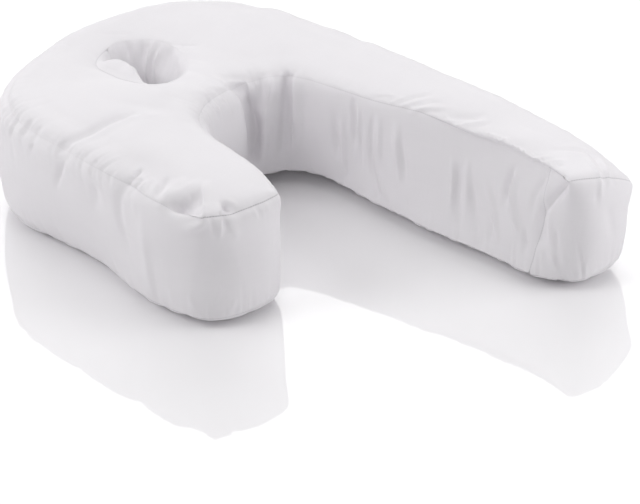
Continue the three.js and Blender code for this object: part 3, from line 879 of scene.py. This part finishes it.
FOLDS["ear_hole_lining"] = [
    (10, -2.6, 0.3, 0, 0, 0.3, (-272, 52, 139), (-270, 48, 132), (-267, 43, 124)),
    (8, 1.6, 0.4, 0, 0, 0.3, (-267, 57, 138), (-264, 52, 129), (-260, 47, 119)),
    (10, -2.2, 0.3, 0, 0, 0.3, (-260, 63, 138), (-257, 58, 129), (-252, 52, 117)),
    (9, 4.5, 0.5, -2, 0.3, 0.6, (-246, 70, 138), (-245, 65, 132), (-245, 59, 124), (-244, 54, 115),
     (-242, 48, 104)),
    (7, -2.4, 0.5, 0, 0.3, 0.3, (-242, 69, 134), (-242, 62, 126), (-240, 57, 118), (-237, 51, 107)),
    (11, 4.2, 0.4, 0, 0.3, 0.6, (-237, 68, 133), (-238, 62, 125), (-236, 56, 115), (-229, 50, 106)),
    (22, -4, 0.1, 0, 0.3, 0.5, (-230, 72, 138), (-223, 64, 130), (-220, 56, 120), (-214, 48, 112)),
    (13, 3.5, 0.2, 0, 0.3, 0.3, (-212, 67, 137), (-196, 57, 135), (-188, 45, 127)),
    (7, -1.2, 0.4, 0, 0, 0, (-279, 29, 138), (-277, 31, 134), (-273, 35, 127)),
]
FOLD_STEP = 0.001
FOLD_ROUNDING = 9
FOLD_FULL = (0.3, 0.7)
FOLD_GRIP = 0.015
FOLD_MARGIN = 3
SOFT_FALL = 2
SHARP_FALL = 2.2


def fold_shift(piece, rows):
    """How far the folds move each vertex."""
    spots = places(piece)
    facing = outward(piece)
    shift = np.zeros_like(spots)
    for width, depth, sharp, lean, start, end, *marks in rows:
        marks = np.array(marks) / 1000
        reach = np.concatenate([[0], np.cumsum(np.linalg.norm(np.diff(marks, axis=0), axis=1))])
        steps = np.linspace(0, reach[-1], max(int(reach[-1] / FOLD_STEP), 2))
        run = np.stack([np.interp(steps, reach, column) for column in marks.T], 1)
        rounds = np.ones(FOLD_ROUNDING) / FOLD_ROUNDING
        ends = np.pad(run, ((FOLD_ROUNDING // 2,) * 2, (0, 0)), "edge")
        run = np.stack([np.convolve(column, rounds, "valid") for column in ends.T], 1)
        half = width / 2000
        margin = FOLD_MARGIN * half
        inside = (spots > run.min(0) - margin) & (spots < run.max(0) + margin)
        near = np.flatnonzero(np.all(inside, 1))
        gap = spots[near][:, None] - run[None]
        closest = np.argmin(np.sum(gap ** 2, 2), 1)
        gap = gap[np.arange(len(near)), closest]
        lift = np.sum(gap * facing[near], 1)
        aside = np.linalg.norm(gap - lift[:, None] * facing[near], axis=1) / half
        share = steps[closest] / reach[-1]
        left = np.interp(share, (0, *FOLD_FULL, 1), (start, 1, 1, end))
        left = np.where(np.abs(lift) < FOLD_GRIP, left, 0)[:, None] / 1000
        soft = np.exp(-SOFT_FALL * aside ** 2)
        creased = np.exp(-SHARP_FALL * aside)
        pressed = depth * (soft + sharp * (creased - soft))
        across = np.cross(facing[near], np.gradient(run, axis=0)[closest])
        across /= np.maximum(np.linalg.norm(across, axis=1, keepdims=True), 1e-9)
        shift[near] += left * (pressed[:, None] * facing[near] + lean * soft[:, None] * across)
    return shift


all_folds = [row for rows in FOLDS.values() for row in rows]
set_places(pillow, places(pillow) + fold_shift(pillow, all_folds))

# Each seam is drawn in to a narrow groove by its thread. The cloth keeps how far it is from the
# nearest seam and how far along that seam, in metres, for its stitches, and how deep the seam's
# groove is and how dark its painted shadow line is there, from 0 to 1: for the top seam at places in
# mm, then for the foot seam, the ear hole's two rims, the band's join and the lining's.
GROOVE_DEPTH = 0.0012
GROOVE_WIDTH = 0.0022
SEAM_REACH = 0.02
SEAM_GROOVE_AND_SHADE = [
    (80, -140, 137, 0.55),
    (58, -210, 138, 1.0),
    (38, -210, 139, 0.8),
    (25, -210, 139, 0.3),
    (-55, -200, 140, 0.25),
    (-155, -184, 140, 0.05),
    (-320, -75, 139, 0.05),
    (-200, 206, 139, 0.3),
    (200, 186, 135, 0.3),
    (345, 172, 104, 0.45),
    (321, 83, 137, 0.6),
    (290, 98, 140, 0.5),
    (100, 110, 139, 0.4),
    (0, 108, 139, 0.3),
    (-65, 100, 137, 0.15),
    (-106, 15, 137, 0.1),
    (40, -92, 137, 0.3),
    (89, -116, 136, 0.6),
]
OTHER_SEAMS_GROOVE_AND_SHADE = (0.4, 0.3, 0.25, 0.35, 0.05)
PLAIN_GROOVE = 0.35
BACK_OF_RIM = 0.08
BACK_GROOVE_AND_SHADE = 0.1

spots = places(pillow)
gap_to_seam = np.full(len(spots), SEAM_REACH)
along_seam = np.zeros(len(spots))
seam_shows = np.zeros(len(spots))
for number, run in enumerate(rings + posts):
    along, away = Seam(spots[run], closed=number < len(rings)).locate(spots)
    nearer = away < gap_to_seam
    gap_to_seam[nearer] = away[nearer]
    along_seam[nearer] = along[nearer]
    if number:
        seam_shows[nearer] = OTHER_SEAMS_GROOVE_AND_SHADE[number - 1]
    else:
        seam_shows[nearer] = stations(top_seam, SEAM_GROOVE_AND_SHADE)(along)[nearer, 0]
# At the back of the ear hole's rim the groove is shallower and the painted seam shadow fainter.
seam_shows[(turn > 0) & (distance < BACK_OF_RIM)] *= BACK_GROOVE_AND_SHADE
groove = GROOVE_DEPTH * (PLAIN_GROOVE + seam_shows) * np.exp(-(gap_to_seam / GROOVE_WIDTH) ** 2)
spots -= outward(pillow) * groove[:, None]
spots[:, 2] = np.maximum(spots[:, 2], 0)
set_places(pillow, spots)
for name, values in (
        ("gap_to_seam", gap_to_seam), ("along_seam", along_seam), ("seam_shows", seam_shows)):
    pillow.data.attributes.new(name, "FLOAT", "POINT").data.foreach_set("value", values)
activate(pillow)
bpy.ops.object.shade_smooth()

# The cuts lie side by side in the UV map at their real size, in metres, for the weave.
cut_map = pillow.data.uv_layers.active.data
corners = np.empty(len(cut_map) * 2)
cut_map.foreach_get("uv", corners)
corners = corners.reshape(-1, 4, 2)
across, along = corners[:, 2] - corners[:, 0], corners[:, 3] - corners[:, 1]
drawn_area = np.abs(across[:, 0] * along[:, 1] - across[:, 1] * along[:, 0]).sum() / 2
cloth_area = sum(face.area for face in pillow.data.polygons)
corners *= math.sqrt(cloth_area / drawn_area)
cut_map.foreach_set("uv", corners.ravel())


class Wire:
    """A socket of the cloth's shader, on which arithmetic adds Math nodes."""

    def __init__(self, tree, socket):
        self.tree = tree
        self.socket = socket

    def node(self, kind, settings, **sockets):
        added = self.tree.nodes.new(kind)
        for name, value in settings.items():
            setattr(added, name, value)
        for name, value in sockets.items():
            name = int(name[1:]) if name[1:].isdigit() else name.replace("_", " ")
            if isinstance(value, Wire):
                self.tree.links.new(value.socket, added.inputs[name])
            else:
                added.inputs[name].default_value = value
        return added

    def math(self, operation, first, second=0.0):
        added = self.node("ShaderNodeMath", {"operation": operation}, _0=first, _1=second)
        return Wire(self.tree, added.outputs[0])

    def __add__(self, other):
        return self.math("ADD", self, other)

    def __sub__(self, other):
        return self.math("SUBTRACT", self, other)

    def __rsub__(self, other):
        return self.math("SUBTRACT", other, self)

    def __mul__(self, other):
        return self.math("MULTIPLY", self, other)

    __radd__ = __add__
    __rmul__ = __mul__

    def sine(self):
        return self.math("SINE", self)

    def size(self):
        return self.math("ABSOLUTE", self)

    def above(self, level):
        return self.math("GREATER_THAN", self, level)

    def fading(self, width):
        """1 at zero, falling off softly over a width."""
        return self.math("EXPONENT", self * self * (-1 / width ** 2))


# White cotton percale, a fine plain weave, a little uneven in its yarn, with the seams' thread sunk
# in and short stitches showing. The thin dark line along each seam is painted shade, standing for
# the shadow in the seam's groove, with the stitches' thread lighter in it.
COTTON_WHITE = (0.845, 0.825, 0.85, 1)
COTTON_SHADED = (0.795, 0.775, 0.805, 1)
# Colour of the painted shadow line in the seams' grooves.
SEAM_SHADE = (0.36, 0.34, 0.37, 1)
YARN_PITCH = 0.00048
YARN_HEIGHT = 0.00004
STITCH_LENGTH = 0.003
STITCH_WIDTH = 0.0005
STITCH_HEIGHT = 0.00025
SEAM_LINE = 0.0006
THREAD_LIGHTENS = 0.5
SLUBS_PER_METRE = 900
SLUB_LENGTHENING = 0.02
PATCHES_PER_METRE = 28
SHADE_AT_LEAST = 0.2
SHADE_OF_SLUBS = 0.4
SHADE_OF_PATCHES = 0.4
SHADE_BETWEEN_YARNS = 0.2
MATT = 0.8
MATT_OF_SLUBS = 0.2
MATT_BETWEEN_YARNS = 0.1
SOFT_SHEEN = 0.2

cotton = bpy.data.materials.new("white_cotton")
cotton.use_nodes = True
cotton_nodes = cotton.node_tree
cloth_shader = cotton_nodes.nodes["Principled BSDF"]
start = Wire(cotton_nodes, None)
uv = start.node("ShaderNodeUVMap", {"uv_map": pillow.data.uv_layers.active.name}).outputs[0]
uv_parts = start.node("ShaderNodeSeparateXYZ", {}, Vector=Wire(cotton_nodes, uv)).outputs
warp_at, weft_at = Wire(cotton_nodes, uv_parts[0]), Wire(cotton_nodes, uv_parts[1])
gap, along, seam_shade_strength = (
    Wire(cotton_nodes, start.node("ShaderNodeAttribute", {"attribute_name": name}).outputs["Fac"])
    for name in ("gap_to_seam", "along_seam", "seam_shows"))


def cloth_noise(scale, detail, stretch=(1, 1, 1)):
    mapped = start.node("ShaderNodeMapping", {}, Vector=Wire(cotton_nodes, uv), Scale=stretch)
    made = start.node("ShaderNodeTexNoise", {}, Vector=Wire(cotton_nodes, mapped.outputs[0]),
                      Scale=scale, Detail=detail)
    return Wire(cotton_nodes, made.outputs[0])


warp = (warp_at * (math.pi / YARN_PITCH)).sine()
weft = (weft_at * (math.pi / YARN_PITCH)).sine()
warp_on_top = (warp * weft).above(0)
weave = warp_on_top * warp.size() + (1 - warp_on_top) * weft.size()
thick_warp = cloth_noise(SLUBS_PER_METRE, 2, (1, SLUB_LENGTHENING, 1))
thick_weft = cloth_noise(SLUBS_PER_METRE, 2, (SLUB_LENGTHENING, 1, 1))
slubs = thick_warp + thick_weft - 1
patches = cloth_noise(PATCHES_PER_METRE, 3)
between_yarns = 1 - weave
shading = (SHADE_AT_LEAST + slubs * SHADE_OF_SLUBS + (patches - 0.5) * SHADE_OF_PATCHES
           + between_yarns * SHADE_BETWEEN_YARNS)
shading = start.math("MINIMUM", start.math("MAXIMUM", shading, 0), 1)
cloth_colour = start.node("ShaderNodeMix", {"data_type": "RGBA"}, Factor=shading,
                          _6=COTTON_WHITE, _7=COTTON_SHADED)

stitch = (along * (2 * math.pi / STITCH_LENGTH)).sine() * 0.5 + 0.5
thread = gap.fading(STITCH_WIDTH) * stitch
seam_shadow = gap.fading(SEAM_LINE) * (1 - thread * THREAD_LIGHTENS)
# Paints the seam's shadow into the base colour, as strongly as each seam's groove-and-shade value
# says.
seam_colour = start.node("ShaderNodeMix", {"data_type": "RGBA"}, Factor=seam_shadow * seam_shade_strength,
                         _6=Wire(cotton_nodes, cloth_colour.outputs[2]), _7=SEAM_SHADE)
cotton_nodes.links.new(seam_colour.outputs[2], cloth_shader.inputs["Base Color"])
matt = MATT + slubs * MATT_OF_SLUBS + between_yarns * MATT_BETWEEN_YARNS
cotton_nodes.links.new(matt.socket, cloth_shader.inputs["Roughness"])
cloth_shader.inputs["Sheen Weight"].default_value = SOFT_SHEEN
height = (weave + slubs) * YARN_HEIGHT + (thread - gap.fading(SEAM_LINE)) * STITCH_HEIGHT
relief = start.node("ShaderNodeBump", {}, Strength=1.0, Distance=1.0, Height=height)
cotton_nodes.links.new(relief.outputs[0], cloth_shader.inputs["Normal"])
pillow.data.materials.clear()
pillow.data.materials.append(cotton)
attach(pillow, "root")
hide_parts("pillow_body")

# The floor is one wide, smooth sheet of glossy white board. The pillow lies loose on it, on its flat
# bottom panel, and mirrors in it.
FLOOR_WIDTH = 16
FLOOR_GAP = 0.0005

bpy.ops.mesh.primitive_plane_add(size=FLOOR_WIDTH, location=(0, 0, -FLOOR_GAP))
floor = bpy.context.object
floor.name = "studio_floor"
gloss = bpy.data.materials.new("floor_gloss")
gloss.use_nodes = True
floor_shader = gloss.node_tree.nodes["Principled BSDF"]
for name, value in (("Base Color", (0.94, 0.93, 0.945, 1)), ("Roughness", 0.03), ("IOR", 2.0)):
    floor_shader.inputs[name].default_value = value
floor.data.materials.append(gloss)

# Soft studio light: a very weak even surround, a large soft box overhead, one high over the near
# left, one low on each side, a wide dim one in front, and a bright screen behind the pillow, which
# the floor mirrors as clear white.
SURROUND_STRENGTH = 0.03

surround = scene.world or bpy.data.worlds.new("studio")
scene.world = surround
surround.use_nodes = True
surround.node_tree.nodes["Background"].inputs["Color"].default_value = (1, 1, 1, 1)
surround.node_tree.nodes["Background"].inputs["Strength"].default_value = SURROUND_STRENGTH


def soft_box(name, place, width, height, radiance, aim=(0, 0, 0.05)):
    """A soft light as wide and high as given, in metres, that faces the pillow."""
    bpy.ops.object.light_add(type="AREA", location=place)
    box = bpy.context.object
    box.name = name
    box.data.shape = "RECTANGLE"
    box.data.size = width
    box.data.size_y = height
    box.data.energy = radiance * width * height * math.pi
    box.rotation_euler = (Vector(aim) - Vector(place)).to_track_quat("-Z", "Y").to_euler()


soft_box("soft_box_above", (0.0, 0.4, 3.0), 3.0, 3.0, 1.45)
soft_box("soft_box_over_left", (-1.3, -1.9, 2.2), 1.4, 1.4, 4.5)
soft_box("soft_box_left", (-3.1, -1.5, 1.2), 2.4, 2.2, 2.2)
soft_box("soft_box_right", (1.6, 0.9, 0.8), 1.2, 1.0, 4.1)
soft_box("soft_box_front", (2.06, -2.45, 1.2), 3.6, 2.2, 1.1)
soft_box("bright_screen", (-2.25, 2.68, 2.0), 4.0, 3.6, 1.8)
scene.view_settings.view_transform = "Standard"
